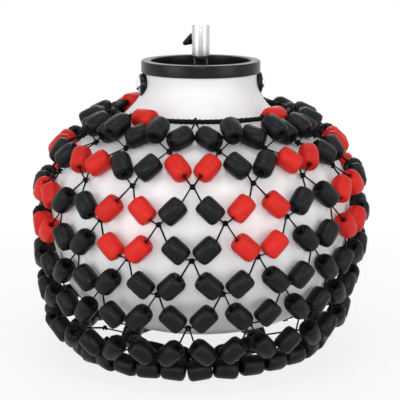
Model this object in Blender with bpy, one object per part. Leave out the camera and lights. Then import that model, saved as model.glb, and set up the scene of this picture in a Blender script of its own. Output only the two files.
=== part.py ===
"""Beaded gourd shaker that clamps on a hi-hat pull rod.

Metres, +Z up along the pull rod. The origin is on the rod's axis, level with the top of the neck's
rim. +X is to the right and -Y is to the front. An azimuth is an angle round Z, measured from the
front and positive towards +X. A gourd station is a distance down the gourd's outline.
"""

import math
import random

import bmesh
import bpy
from mathutils import Matrix, Vector

# Fits
SEAT_GAP = 0.0003

# Gourd shell
SHELL_WALL = 0.003
NECK_RADIUS = 0.0414
NECK_LENGTH = 0.014
FLARE_DROP = 0.015
FLARE_REACH = 0.018
SHOULDER_ANGLE = math.radians(52)
BELLY_RADIUS = 0.112
BELLY_DROP = 0.111
SHOULDER_RISE = 0.072
BASE_DEPTH = 0.0872
SHOULDER_FULLNESS = 2.5
BASE_FULLNESS = 2.8
SHELL_SIDES = 32

# Rim over the neck's lip
RIM_HEIGHT = 0.009
RIM_TOP = 0.0025
RIM_OUTER_LEG = 0.0024
RIM_INNER_LEG = 0.0011
RIM_EDGE = 0.0009

# Pull rod and its clutch
ROD_RADIUS = 0.0032
ROD_CLEARANCE = 0.0002
BARREL_RADIUS = 0.0065
BARREL_BASE = 0.0025
BARREL_LENGTH = 0.0235
BARREL_EDGE = 0.0008
STEM_RADIUS = 0.0052
STEM_TAIL = 0.003
CLUTCH_NUT_RADIUS = 0.009
CLUTCH_NUT_HEIGHT = 0.005
CLUTCH_WASHER_RADIUS = 0.010
CLUTCH_WASHER_HEIGHT = 0.0022
TURNED_SIDES = 16

# Wing screw, on an axis that points to the back left
SCREW_AZIMUTH = math.radians(-150)
SCREW_HEIGHT = 0.0150
SCREW_RADIUS = 0.0024
SCREW_NECK = 0.0022
WING_DEPTH = 0.0045
WING_HALF_SPAN = 0.0095
WING_ROOT = 0.0043
WING_TIP = 0.0013
WING_TURN = math.radians(24)

# Strap across the neck, its bolts and its pads
BOLT_LINE_TURN = math.radians(10)
BOLT_DROP = 0.0175
BOLT_RADIUS = 0.0025
BOLT_HEAD_RADIUS = 0.0047
BOLT_HEAD_HEIGHT = 0.0028
BOLT_TAIL = 0.0012
BOLT_NUT_RADIUS = 0.0046
BOLT_NUT_HEIGHT = 0.004
PAD_RADIUS = 0.0082
PAD_THICKNESS = 0.0042
STRAP_WIDTH = 0.018
STRAP_THICKNESS = 0.003
STRAP_DROP = 0.025
STRAP_TAB_TOP = 0.0105
BOLT_SIDES = 12

# Grommet in the base
GROMMET_BORE = 0.0055
GROMMET_WAIST = 0.0085
GROMMET_FLANGE = 0.0125
GROMMET_FLANGE_HEIGHT = 0.002
GROMMET_SEAT_MARGIN = 0.0015

# Beads, cords and knots
BEAD_RADIUS = 0.0070
BEAD_LENGTH = 0.0165
BEAD_EDGE = 0.0022
CORD_RADIUS = 0.00065
KNOT_RADIUS = 0.0015
COLLAR_CORD_RADIUS = 0.0019
BASE_CORD_RADIUS = 0.0009
CORD_SIDES = 5
COLLAR_SIDES = 32

# Net
COLUMNS = 16
ROWS = 8
FIRST_AZIMUTH = math.radians(-3)
COLLAR_SEAT_RADIUS = 0.060
KNOT_DROP = 0.0240
KNOT_LIFT = 0.003
BEAD_LIFT = BEAD_RADIUS + 0.0005
FIRST_KNOT_DROP = 0.0274
CROWDED_COLUMNS = 2
FLAT_BEAD_DROP = 0.0180
FLAT_BEAD_LIFT = 0.0030
HIGH_BEAD_DROP = 0.0206
HIGH_BEAD_LIFT = 0.0072
HIGH_BEAD_TURN = math.radians(5.25)
LOW_BEAD_DROP = 0.0195
LOW_BEAD_TURN = math.radians(6.95)
LOW_BEAD_TILT = math.radians(42)
LAST_BEAD_DROP = 0.010
UNDER_GAP = 0.0073
NET_LEAN = math.radians(9)
CURL_RADIUS = 0.030
NET_SLIP = 0.0035
FIRST_ROW_SLIP = 0.22
BEAD_SLIDE = 0.12
BEAD_SAG = math.radians(7)
NET_SWAY = 0.06
SWAY_DROP = 0.123
BASE_TIE_RADIUS = 0.001
LOOP_STEPS = 6
LOOP_HALF_WIDTH = 0.0011
COLLAR_BEAD_BAYS = (2, 6, 10, 14)
RED_ROWS_EVEN_COLUMNS = (2,)
RED_ROWS_ODD_COLUMNS = (3, 4)

COLUMN_STEP = 2 * math.pi / COLUMNS
KNOT_SPACING = math.hypot((BELLY_RADIUS + KNOT_LIFT) * COLUMN_STEP / 2, KNOT_DROP)
ROD_BORE = ROD_RADIUS + ROD_CLEARANCE
NECK_BORE = NECK_RADIUS - SHELL_WALL
LIP_DROP = RIM_TOP + SEAT_GAP


def polar(azimuth, radius, height):
    return Vector((radius * math.sin(azimuth), -radius * math.cos(azimuth), height))


def make_material(name, colour, roughness, metallic=0.0):
    material = bpy.data.materials.new(name)
    material.use_nodes = True
    shader = material.node_tree.nodes["Principled BSDF"]
    shader.inputs["Base Color"].default_value = (*colour, 1.0)
    shader.inputs["Roughness"].default_value = roughness
    shader.inputs["Metallic"].default_value = metallic
    return material


def add_object(name, mesh, *materials):
    piece = bpy.data.objects.new(name, mesh)
    bpy.context.collection.objects.link(piece)
    for material in materials:
        mesh.materials.append(material)
    return piece


def add_mesh(name, bm, *materials, smooth_angle=math.radians(40)):
    bmesh.ops.recalc_face_normals(bm, faces=bm.faces)
    mesh = bpy.data.meshes.new(name)
    bm.to_mesh(mesh)
    bm.free()
    mesh.shade_smooth()
    mesh.set_sharp_from_angle(angle=smooth_angle)
    return add_object(name, mesh, *materials)


def turned_ring(name, outline, sides, *materials):
    """Turns a closed outline of (radius, height) points, clear of the axis, round Z."""
    bm = bmesh.new()
    corners = [bm.verts.new((radius, 0, height)) for radius, height in outline]
    edges = [bm.edges.new((corners[i - 1], corners[i])) for i in range(len(corners))]
    bmesh.ops.spin(
        bm, geom=corners + edges, axis=(0, 0, 1), cent=(0, 0, 0), steps=sides, angle=2 * math.pi
    )
    bmesh.ops.remove_doubles(bm, verts=bm.verts, dist=1e-6)
    return add_mesh(name, bm, *materials)


def turned_solid(name, outline, sides, *materials):
    """Turns (radius, height) points, from the top end to the bottom end, into a capped solid."""
    bm = bmesh.new()
    rings = []
    for radius, height in outline:
        matrix = Matrix.Translation((0, 0, height))
        ring = bmesh.ops.create_circle(bm, segments=sides, radius=radius, matrix=matrix)
        rings.append(ring["verts"])
    for upper, lower in zip(rings, rings[1:]):
        for i in range(sides):
            bm.faces.new((upper[i - 1], upper[i], lower[i], lower[i - 1]))
    bm.faces.new(rings[0])
    bm.faces.new(rings[-1])
    return add_mesh(name, bm, *materials)


def extruded(name, outline, depth, *materials):
    """Extrudes an outline of (y, z) points along +X, from 0 to a depth."""
    bm = bmesh.new()
    face = bm.faces.new([bm.verts.new((0, y, z)) for y, z in outline])
    moved = bmesh.ops.extrude_face_region(bm, geom=[face])["geom"]
    verts = [item for item in moved if isinstance(item, bmesh.types.BMVert)]
    bmesh.ops.translate(bm, verts=verts, vec=(depth, 0, 0))
    return add_mesh(name, bm, *materials)


def boolean(piece, tool, operation):
    modifier = piece.modifiers.new(operation.title(), "BOOLEAN")
    modifier.operation = operation
    modifier.object = tool
    modifier.solver = "EXACT"
    tool.hide_render = True
    tool.display_type = "WIRE"


def place(piece, parent, matrix):
    piece.parent = parent
    piece.matrix_local = matrix


def add_empty(name, location, turn=0.0):
    empty = bpy.data.objects.new(name, None)
    bpy.context.collection.objects.link(empty)
    empty.location = location
    empty.rotation_euler = (0, 0, turn)
    return empty


# Outline of the gourd


def superellipse(angle, rise, fullness=SHOULDER_FULLNESS):
    """Point on the belly: angle 0 is the belly line, 90 degrees is the pole."""
    power = 2 / fullness
    radius = BELLY_RADIUS * math.cos(angle) ** power
    return Vector((radius, -BELLY_DROP + rise * math.sin(angle) ** power))


def gourd_outline(fineness=1):
    """Outer surface of the gourd from its lip to the belly, as (radius, height) points."""
    lip = Vector((NECK_RADIUS, -LIP_DROP))
    neck_foot = Vector((NECK_RADIUS, -NECK_LENGTH))
    shoulder = superellipse(SHOULDER_ANGLE, SHOULDER_RISE)
    slope = shoulder - superellipse(SHOULDER_ANGLE + 0.001, SHOULDER_RISE)
    flare = (
        neck_foot,
        neck_foot - Vector((0, FLARE_DROP)),
        shoulder - slope.normalized() * FLARE_REACH,
        shoulder,
    )
    points = [lip]
    flare_steps = 4 * fineness
    for i in range(flare_steps):
        points.append(bezier(flare, i / flare_steps))
    belly_steps = 4 * fineness
    for i in range(belly_steps + 1):
        points.append(superellipse(SHOULDER_ANGLE * (1 - i / belly_steps), SHOULDER_RISE))
    return points


def bezier(handles, t):
    a, b, c, d = handles
    s = 1 - t
    return a * s**3 + b * (3 * s * s * t) + c * (3 * s * t * t) + d * t**3


def base_outline():
    """Outer surface from just below the belly to the flat seat round the rod hole."""
    seat = GROMMET_FLANGE + GROMMET_SEAT_MARGIN
    last = math.acos((seat / BELLY_RADIUS) ** (BASE_FULLNESS / 2))
    steps = 5
    points = [superellipse(last * i / steps, -BASE_DEPTH, BASE_FULLNESS) for i in range(1, steps + 1)]
    return points + [Vector((GROMMET_WAIST + SEAT_GAP, points[-1].y))]


def inset_outline(points, wall):
    """Moves each point of an outline towards the inside of the gourd by a wall."""
    inner = []
    for i, point in enumerate(points):
        before = points[max(i - 1, 0)]
        after = points[min(i + 1, len(points) - 1)]
        along = (after - before).normalized()
        inner.append(point + Vector((along.y, -along.x)) * wall)
    return inner


# Net: stations down the gourd, and points at a lift off them


class Meridian:
    """A dense outline with lengths along it."""

    def __init__(self, points):
        self.points = points
        self.lengths = [0.0]
        for a, b in zip(points, points[1:]):
            self.lengths.append(self.lengths[-1] + (b - a).length)

    def station_at_radius(self, radius):
        for point, length in zip(self.points, self.lengths):
            if point.x >= radius:
                return length
        return self.lengths[-1]

    def at(self, station):
        """Point and outward normal at a station."""
        i = 1
        while i < len(self.points) - 1 and self.lengths[i] < station:
            i += 1
        a, b = self.points[i - 1], self.points[i]
        share = (station - self.lengths[i - 1]) / (self.lengths[i] - self.lengths[i - 1])
        along = (b - a).normalized()
        return a.lerp(b, share), Vector((-along.y, along.x))

    def radius(self, station, lift):
        point, normal = self.at(station)
        return (point + normal * lift).x


def knot_rows(meridian, collar):
    """Stations of the knot rows, from the collar down, one cord length apart."""
    stations = [collar, collar + FIRST_KNOT_DROP]
    while len(stations) <= ROWS:
        last = stations[-1]
        sideways = meridian.radius(last + KNOT_SPACING / 3, KNOT_LIFT) * COLUMN_STEP / 2
        stations.append(last + math.sqrt(KNOT_SPACING**2 - sideways**2))
    return stations


def net_meridian():
    """The gourd's outline past the belly, then straight down leaning in, then turned under the gourd."""
    points = gourd_outline(12)
    bottom = -BELLY_DROP - BASE_DEPTH - UNDER_GAP
    power = 2 / BASE_FULLNESS
    parting = math.atan((math.tan(NET_LEAN) * BASE_DEPTH / BELLY_RADIUS) ** (1 / (2 - power)))
    steps = 8
    points += [superellipse(parting * i / steps, -BASE_DEPTH, BASE_FULLNESS) for i in range(1, steps + 1)]
    side = Vector((math.cos(NET_LEAN), -math.sin(NET_LEAN)))
    run = (points[-1].y - bottom - CURL_RADIUS * (1 + side.y)) / side.x
    centre = points[-1] + Vector((side.y, -side.x)) * run - side * CURL_RADIUS
    curl_steps = 24
    for i in range(curl_steps + 1):
        angle = NET_LEAN + (math.pi / 2 - NET_LEAN) * i / curl_steps
        points.append(centre + Vector((math.cos(angle), -math.sin(angle))) * CURL_RADIUS)
    points.append(Vector((-BELLY_RADIUS, points[-1].y)))
    meridian = Meridian(points)
    return meridian, knot_rows(meridian, meridian.station_at_radius(COLLAR_SEAT_RADIUS))


def slip(row, azimuth):
    """How far the net has slipped down, more on the left and less on the right."""
    share = (0.0, FIRST_ROW_SLIP)[row] if row < 2 else 1.0
    return -NET_SLIP * share * math.sin(azimuth)


def swayed(point):
    """The lower net hangs a little to the left."""
    return point - Vector((NET_SWAY * max(-SWAY_DROP - point.z, 0.0), 0, 0))


class Net:
    """Places of the net's knots and beads."""

    def __init__(self):
        self.meridian, self.rows = net_meridian()
        self.slides = random.Random(3)
        self.base_level = self.meridian.points[-1].y - BEAD_LIFT
        bay = BEAD_LENGTH + 2 * BASE_TIE_RADIUS + 2 * SEAT_GAP
        self.base_radius = COLUMNS * bay / (2 * math.pi)

    def point(self, station, azimuth, lift):
        point, normal = self.meridian.at(station)
        place_2d = point + normal * lift
        return swayed(polar(azimuth, place_2d.x, place_2d.y))

    def knot(self, column, side, row):
        """Station and azimuth of one leg's half of a knot."""
        azimuth = FIRST_AZIMUTH + column * COLUMN_STEP
        station = self.rows[row]
        radius = self.meridian.radius(station, KNOT_LIFT)
        half_gap = (KNOT_RADIUS + SEAT_GAP / 2) / radius
        if row % 2:
            azimuth += side * (COLUMN_STEP / 2 - half_gap)
        else:
            azimuth += side * half_gap
        return station + slip(row, azimuth), azimuth

    def bead(self, column, side, row):
        """Centre and axis, pointing down the leg, of the bead above a knot."""
        if row == 1:
            return self.first_bead(column, side)
        if row == ROWS:
            return self.last_bead(column, side)
        upper_station, upper_azimuth = self.knot(column, side, row - 1)
        station, azimuth = self.knot(column, side, row)
        down = station - upper_station
        turn = upper_azimuth - azimuth
        sideways = abs(turn) * self.meridian.radius(station - down / 2, BEAD_LIFT)
        angle = math.atan2(sideways, down) + BEAD_SAG
        corner = (BEAD_RADIUS - BEAD_EDGE) * math.cos(angle) + BEAD_EDGE + SEAT_GAP / 2
        touch = (BEAD_LENGTH / 2 - BEAD_EDGE) * math.sin(angle) + corner - KNOT_RADIUS
        room = max(sideways - 2 * touch, 0.0)
        out = min(touch, sideways / 2) + room * self.slides.uniform(0, BEAD_SLIDE)
        centre_azimuth = azimuth + turn * out / sideways
        centre_station = station - out / math.tan(angle)
        axis = self.down(centre_station, centre_azimuth) * math.cos(angle)
        axis -= across(centre_azimuth) * math.copysign(math.sin(angle), turn)
        return self.point(centre_station, centre_azimuth, BEAD_LIFT), axis

    def first_bead(self, column, side):
        """At the front low beads lie askew under high ones. Elsewhere every other bead is raised."""
        azimuth = FIRST_AZIMUTH + column * COLUMN_STEP
        away = min(column, COLUMNS - column)
        if 0 < away <= CROWDED_COLUMNS and faces_front(column, side):
            azimuth += side * HIGH_BEAD_TURN
            station = self.rows[0] + HIGH_BEAD_DROP
            return self.point(station, azimuth, BEAD_LIFT + HIGH_BEAD_LIFT), self.down(station, azimuth)
        if away >= CROWDED_COLUMNS:
            azimuth += side * COLUMN_STEP / 4
            station = self.rows[0] + FLAT_BEAD_DROP
            lift = FLAT_BEAD_LIFT if faces_front(column, side) else 0.0
            return self.point(station, azimuth, BEAD_LIFT + lift), self.down(station, azimuth)
        azimuth += side * LOW_BEAD_TURN
        station = self.rows[0] + LOW_BEAD_DROP
        axis = self.down(station, azimuth) * math.cos(LOW_BEAD_TILT)
        axis += across(azimuth) * side * math.sin(LOW_BEAD_TILT)
        return self.point(station, azimuth, BEAD_LIFT), axis

    def last_bead(self, column, side):
        """The last row turns under the gourd, its beads lying end to end round it."""
        azimuth = FIRST_AZIMUTH + (column + side / 4) * COLUMN_STEP
        station = self.rows[ROWS - 1] + LAST_BEAD_DROP + slip(ROWS, azimuth)
        return self.point(station, azimuth, BEAD_LIFT), across(azimuth) * -side

    def down(self, station, azimuth):
        """Direction down the gourd at a station."""
        along = self.meridian.at(station)[1]
        return polar(azimuth, along.y, -along.x)

    def leg(self, column, side):
        """Tube stations of one leg, from its first bead down to its last knot."""
        stations = []
        for row in range(1, ROWS + 1):
            stations += bead_stations(*self.bead(column, side, row))
            stations.append((self.point(*self.knot(column, side, row), KNOT_LIFT), KNOT_RADIUS))
        return stations

    def loop(self, column):
        """Tube stations of a cord's turn round the collar cord, from its left leg to its right leg."""
        azimuth = FIRST_AZIMUTH + column * COLUMN_STEP
        centre = self.point(self.rows[0], azimuth, BEAD_LIFT)
        down = self.down(self.rows[0], azimuth)
        out = down.cross(across(azimuth))
        reach = COLLAR_CORD_RADIUS + CORD_RADIUS + 2 * SEAT_GAP
        stations = []
        for i in range(LOOP_STEPS + 1):
            angle = 2 * math.pi * i / LOOP_STEPS
            shift = across(azimuth) * LOOP_HALF_WIDTH * (2 * i / LOOP_STEPS - 1)
            spoke = down * math.cos(angle) + out * math.sin(angle)
            stations.append((centre + shift + spoke * reach, CORD_RADIUS))
        return stations

    def base_tie(self, column):
        """End of a cord's tail, tied to the outside of the base cord."""
        azimuth = FIRST_AZIMUTH + column * COLUMN_STEP
        cord = math.hypot(self.base_radius, BEAD_LENGTH / 2)
        reach = cord + BASE_CORD_RADIUS + SEAT_GAP
        return swayed(polar(azimuth, reach, self.base_level)), BASE_TIE_RADIUS


def across(azimuth):
    """Direction round the gourd, towards a greater azimuth."""
    return Vector((math.cos(azimuth), math.sin(azimuth), 0))


def bead_stations(centre, axis, cord_radius=CORD_RADIUS):
    """Tube stations of a bead on its cord, from its upper hole to its lower hole."""
    half = BEAD_LENGTH / 2
    body = half - BEAD_EDGE
    return [
        (centre - axis * half, cord_radius),
        (centre - axis * body, BEAD_RADIUS),
        (centre + axis * body, BEAD_RADIUS),
        (centre + axis * half, cord_radius),
    ]


def faces_front(column, side):
    """Whether a leg hangs on the side of its cord that is nearer the front."""
    return side == (-1 if column < COLUMNS // 2 else 1)


def is_red(column, row):
    return row in (RED_ROWS_ODD_COLUMNS if column % 2 else RED_ROWS_EVEN_COLUMNS)


# Pieces


def cord_tube(name, stations, sides, parent, materials, cyclic=False):
    """A tube through (point, radius) stations, made as a curve with a round section."""
    section = bpy.data.curves.new("cord_section", "CURVE")
    section.dimensions = "2D"
    ring = section.splines.new("POLY")
    ring.points.add(sides - 1)
    ring.use_cyclic_u = True
    for i, point in enumerate(ring.points):
        angle = 2 * math.pi * i / sides
        point.co = (math.cos(angle), math.sin(angle), 0, 1)
    section_object = bpy.data.objects.new("cord_section", section)
    curve = bpy.data.curves.new(name, "CURVE")
    curve.dimensions = "3D"
    curve.bevel_mode = "OBJECT"
    curve.bevel_object = section_object
    curve.use_fill_caps = True
    spline = curve.splines.new("POLY")
    spline.points.add(len(stations) - 1)
    spline.use_cyclic_u = cyclic
    for point, (place_3d, radius) in zip(spline.points, stations):
        point.co = (*place_3d, 1)
        point.radius = radius
    carrier = bpy.data.objects.new("cord_curve", curve)
    bpy.context.collection.objects.link(carrier)
    bpy.context.collection.objects.link(section_object)
    bpy.context.view_layer.update()
    evaluated = carrier.evaluated_get(bpy.context.evaluated_depsgraph_get())
    bm = bmesh.new()
    bm.from_mesh(evaluated.to_mesh())
    bpy.data.objects.remove(carrier)
    bpy.data.objects.remove(section_object)
    bmesh.ops.remove_doubles(bm, verts=bm.verts, dist=1e-6)
    piece = add_mesh(name, bm, *materials)
    piece.parent = parent
    return piece


def paint_beads(piece, centres, material_index):
    for face in piece.data.polygons:
        if any((face.center - centre).length < BEAD_LENGTH / 2 for centre in centres):
            face.material_index = material_index


def add_shell(white, bolt_hole):
    outer = gourd_outline() + base_outline()
    inner = inset_outline(outer, SHELL_WALL)
    inner = inner[:1] + inner[1:-2:2] + inner[-2:]
    shell = turned_ring("gourd_shell", outer + inner[::-1], SHELL_SIDES, white)
    boolean(shell, bolt_hole, "DIFFERENCE")


def add_rim(black):
    outer = NECK_RADIUS + SEAT_GAP + RIM_OUTER_LEG
    inner = NECK_BORE - SEAT_GAP - RIM_INNER_LEG
    outline = [
        (outer, -RIM_HEIGHT),
        (outer, -RIM_EDGE),
        (outer - RIM_EDGE, 0),
        (inner + RIM_EDGE, 0),
        (inner, -RIM_EDGE),
        (inner, -RIM_HEIGHT),
        (NECK_BORE - SEAT_GAP, -RIM_HEIGHT),
        (NECK_BORE - SEAT_GAP, -RIM_TOP),
        (NECK_RADIUS + SEAT_GAP, -RIM_TOP),
        (NECK_RADIUS + SEAT_GAP, -RIM_HEIGHT),
    ]
    turned_ring("neck_rim", outline, SHELL_SIDES, black)


def hexagon(radius):
    corners = [math.pi / 3 * i for i in range(6)]
    return [(radius * math.cos(angle), radius * math.sin(angle)) for angle in corners]


def cylinder_cutter(name, radius, bottom, top, sides, parent=None, matrix=None):
    cutter = turned_solid(name, [(radius, top), (radius, bottom)], sides)
    place(cutter, parent, matrix or Matrix())
    return cutter


def washer_outline(bore, radius, bottom, height):
    return [(bore, bottom), (bore, bottom + height), (radius, bottom + height), (radius, bottom)]


def add_clutch(chrome, steel, felt):
    """The clutch's tube, and the nuts and washers that hold it to the strap."""
    nut_bore = STEM_RADIUS + SEAT_GAP
    upper_washer = -STRAP_DROP + SEAT_GAP
    upper_nut = upper_washer + CLUTCH_WASHER_HEIGHT + SEAT_GAP
    lower_washer = -STRAP_DROP - STRAP_THICKNESS - SEAT_GAP - CLUTCH_WASHER_HEIGHT
    lower_nut = lower_washer - SEAT_GAP - CLUTCH_NUT_HEIGHT
    for name, bottom in (("clutch_washer_upper", upper_washer), ("clutch_washer_lower", lower_washer)):
        outline = washer_outline(nut_bore, CLUTCH_WASHER_RADIUS, bottom, CLUTCH_WASHER_HEIGHT)
        turned_ring(name, outline, TURNED_SIDES, felt)
    for name, bottom in (("clutch_nut_upper", upper_nut), ("clutch_nut_lower", lower_nut)):
        outline = washer_outline(nut_bore, CLUTCH_NUT_RADIUS, bottom, CLUTCH_NUT_HEIGHT)
        turned_ring(name, outline, TURNED_SIDES, steel)

    top = BARREL_BASE + BARREL_LENGTH
    stem_end = lower_nut - STEM_TAIL
    outline = [
        (ROD_BORE, top),
        (BARREL_RADIUS - BARREL_EDGE, top),
        (BARREL_RADIUS, top - BARREL_EDGE),
        (BARREL_RADIUS, BARREL_BASE + BARREL_EDGE),
        (BARREL_RADIUS - BARREL_EDGE, BARREL_BASE),
        (STEM_RADIUS, BARREL_BASE),
        (STEM_RADIUS, stem_end),
        (ROD_BORE, stem_end),
    ]
    tube = turned_ring("clutch_tube", outline, TURNED_SIDES, chrome)

    axis = add_empty("wing_screw_axis", (0, 0, SCREW_HEIGHT), SCREW_AZIMUTH - math.pi / 2)
    along_x = Matrix.Rotation(math.pi / 2, 4, "Y")
    hole = cylinder_cutter(
        "screw_hole", SCREW_RADIUS + SEAT_GAP, 0, 2 * BARREL_RADIUS, BOLT_SIDES, axis, along_x
    )
    boolean(tube, hole, "DIFFERENCE")
    add_wing_screw(axis, along_x, chrome)


def add_wing_screw(axis, along_x, chrome):
    head = BARREL_RADIUS + SCREW_NECK
    outline = [
        (WING_HALF_SPAN, -WING_TIP),
        (WING_HALF_SPAN, WING_TIP),
        (0, WING_ROOT),
        (-WING_HALF_SPAN, WING_TIP),
        (-WING_HALF_SPAN, -WING_TIP),
        (0, -WING_ROOT),
    ]
    screw = extruded("wing_screw", outline, WING_DEPTH, chrome)
    place(screw, axis, Matrix.Translation((head, 0, 0)) @ Matrix.Rotation(-WING_TURN, 4, "X"))
    shank = turned_solid(
        "wing_screw_shank",
        [(SCREW_RADIUS, head + WING_DEPTH / 2), (SCREW_RADIUS, ROD_BORE + SEAT_GAP)],
        BOLT_SIDES,
    )
    place(shank, axis, along_x)
    boolean(screw, shank, "UNION")


def add_strap(steel, bolt_hole, line):
    """The strap across the neck, its tabs turned up and fitted to the neck's bore."""
    tab_face = NECK_BORE - SEAT_GAP - STRAP_THICKNESS
    bottom = -STRAP_DROP - STRAP_THICKNESS
    outline = [
        (-BELLY_RADIUS, bottom),
        (BELLY_RADIUS, bottom),
        (BELLY_RADIUS, -STRAP_TAB_TOP),
        (tab_face, -STRAP_TAB_TOP),
        (tab_face, -STRAP_DROP),
        (-tab_face, -STRAP_DROP),
        (-tab_face, -STRAP_TAB_TOP),
        (-BELLY_RADIUS, -STRAP_TAB_TOP),
    ]
    strap = extruded("mounting_bracket", outline, STRAP_WIDTH, steel)
    turn = Matrix.Rotation(-math.pi / 2, 4, "Z")
    place(strap, line, Matrix.Translation((0, STRAP_WIDTH / 2, BOLT_DROP)) @ turn)
    bore = inset_outline(gourd_outline(), SHELL_WALL + SEAT_GAP)
    bore_guide = turned_solid("neck_bore_guide", bore, SHELL_SIDES)
    stem_hole = cylinder_cutter(
        "stem_hole", STEM_RADIUS + SEAT_GAP, -BELLY_DROP, 0, TURNED_SIDES
    )
    boolean(strap, bore_guide, "INTERSECT")
    boolean(strap, stem_hole, "DIFFERENCE")
    boolean(strap, bolt_hole, "DIFFERENCE")


def add_neck_bolt(side, turn, bolt_hole, chrome, steel, rubber):
    """A bolt through the neck's wall and the strap's tab, with its pad outside and nut inside."""
    line = add_empty("bolt_line_" + side, (0, 0, -BOLT_DROP), BOLT_LINE_TURN + turn)
    along_x = Matrix.Rotation(math.pi / 2, 4, "Y")
    pad_face = NECK_RADIUS + PAD_THICKNESS
    pad_outline = [(PAD_RADIUS, pad_face), (PAD_RADIUS, NECK_BORE)]
    pad = turned_solid("bolt_pad_" + side, pad_outline, TURNED_SIDES, rubber)
    place(pad, line, along_x)
    neck_guide = turned_solid(
        "neck_guide_" + side, inset_outline(gourd_outline(), -SEAT_GAP), SHELL_SIDES
    )
    boolean(pad, neck_guide, "DIFFERENCE")
    boolean(pad, bolt_hole, "DIFFERENCE")

    nut_face = NECK_BORE - STRAP_THICKNESS - 2 * SEAT_GAP
    nut_end = nut_face - BOLT_NUT_HEIGHT
    seat = pad_face + SEAT_GAP
    outline = [
        (BOLT_HEAD_RADIUS * 0.45, seat + BOLT_HEAD_HEIGHT),
        (BOLT_HEAD_RADIUS * 0.85, seat + BOLT_HEAD_HEIGHT * 0.65),
        (BOLT_HEAD_RADIUS, seat + BOLT_HEAD_HEIGHT * 0.2),
        (BOLT_HEAD_RADIUS, seat),
        (BOLT_RADIUS, seat),
        (BOLT_RADIUS, nut_end - BOLT_TAIL),
    ]
    bolt = turned_solid("bolt_" + side, outline, BOLT_SIDES, chrome)
    place(bolt, line, along_x)
    nut = extruded("bolt_nut_" + side, hexagon(BOLT_NUT_RADIUS), BOLT_NUT_HEIGHT, steel)
    place(nut, line, Matrix.Translation((nut_end, 0, 0)))
    boolean(nut, bolt_hole, "DIFFERENCE")


def add_grommet(rubber):
    outside = base_outline()[-1].y - SEAT_GAP
    inside = base_outline()[-1].y + SHELL_WALL + SEAT_GAP
    outline = [
        (GROMMET_BORE, inside + GROMMET_FLANGE_HEIGHT),
        (GROMMET_FLANGE, inside + GROMMET_FLANGE_HEIGHT),
        (GROMMET_FLANGE, inside),
        (GROMMET_WAIST, inside),
        (GROMMET_WAIST, outside),
        (GROMMET_FLANGE, outside),
        (GROMMET_FLANGE, outside - GROMMET_FLANGE_HEIGHT),
        (GROMMET_BORE, outside - GROMMET_FLANGE_HEIGHT),
    ]
    turned_ring("rod_grommet", outline, TURNED_SIDES, rubber)


def add_collar(net, axis, black_cord, red):
    """The collar cord and the beads threaded on it."""
    ring = net.point(net.rows[0], 0, BEAD_LIFT)
    radius = ring.xy.length
    stations = []
    for i in range(COLLAR_SIDES):
        stations.append((polar(2 * math.pi * i / COLLAR_SIDES, radius, ring.z), COLLAR_CORD_RADIUS))
    cord_tube("collar_cord", stations, 6, axis, [black_cord], cyclic=True)

    half = BEAD_LENGTH / 2
    sides = 10
    bow = half * half / (2 * radius)
    hole = (COLLAR_CORD_RADIUS + bow + SEAT_GAP) / math.cos(math.pi / sides)
    outline = [
        (hole, half),
        (BEAD_RADIUS - BEAD_EDGE, half),
        (BEAD_RADIUS, half - BEAD_EDGE),
        (BEAD_RADIUS, BEAD_EDGE - half),
        (BEAD_RADIUS - BEAD_EDGE, -half),
        (hole, -half),
    ]
    for number, bay in enumerate(COLLAR_BEAD_BAYS, 1):
        azimuth = FIRST_AZIMUTH + (bay + 0.5) * COLUMN_STEP
        bead = turned_ring("collar_bead_%d" % number, outline, sides, red)
        turn = across(azimuth).to_track_quat("Z", "Y").to_matrix().to_4x4()
        place(bead, axis, Matrix.Translation(polar(azimuth, radius, ring.z)) @ turn)


def add_net_cords(net, axis, black, red):
    for column in range(COLUMNS):
        left = net.leg(column, -1)
        right = net.leg(column, 1)
        stations = left[::-1] + net.loop(column) + right + [net.base_tie(column)]
        cord = cord_tube(
            "beaded_cord_%02d" % (column + 1), stations, CORD_SIDES, axis, [black, red]
        )
        red_places = []
        for i in range(ROWS):
            if is_red(column, i + 1):
                for leg in (left, right):
                    top, bottom = leg[5 * i][0], leg[5 * i + 3][0]
                    red_places.append((top + bottom) / 2)
        paint_beads(cord, red_places, 1)


def add_base_cord(net, axis, black):
    stations = []
    for bay in range(COLUMNS):
        azimuth = FIRST_AZIMUTH + (bay + 0.5) * COLUMN_STEP
        centre = swayed(polar(azimuth, net.base_radius, net.base_level))
        stations += bead_stations(centre, across(azimuth), BASE_CORD_RADIUS)
    cord_tube("base_cord", stations, CORD_SIDES, axis, [black], cyclic=True)


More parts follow.
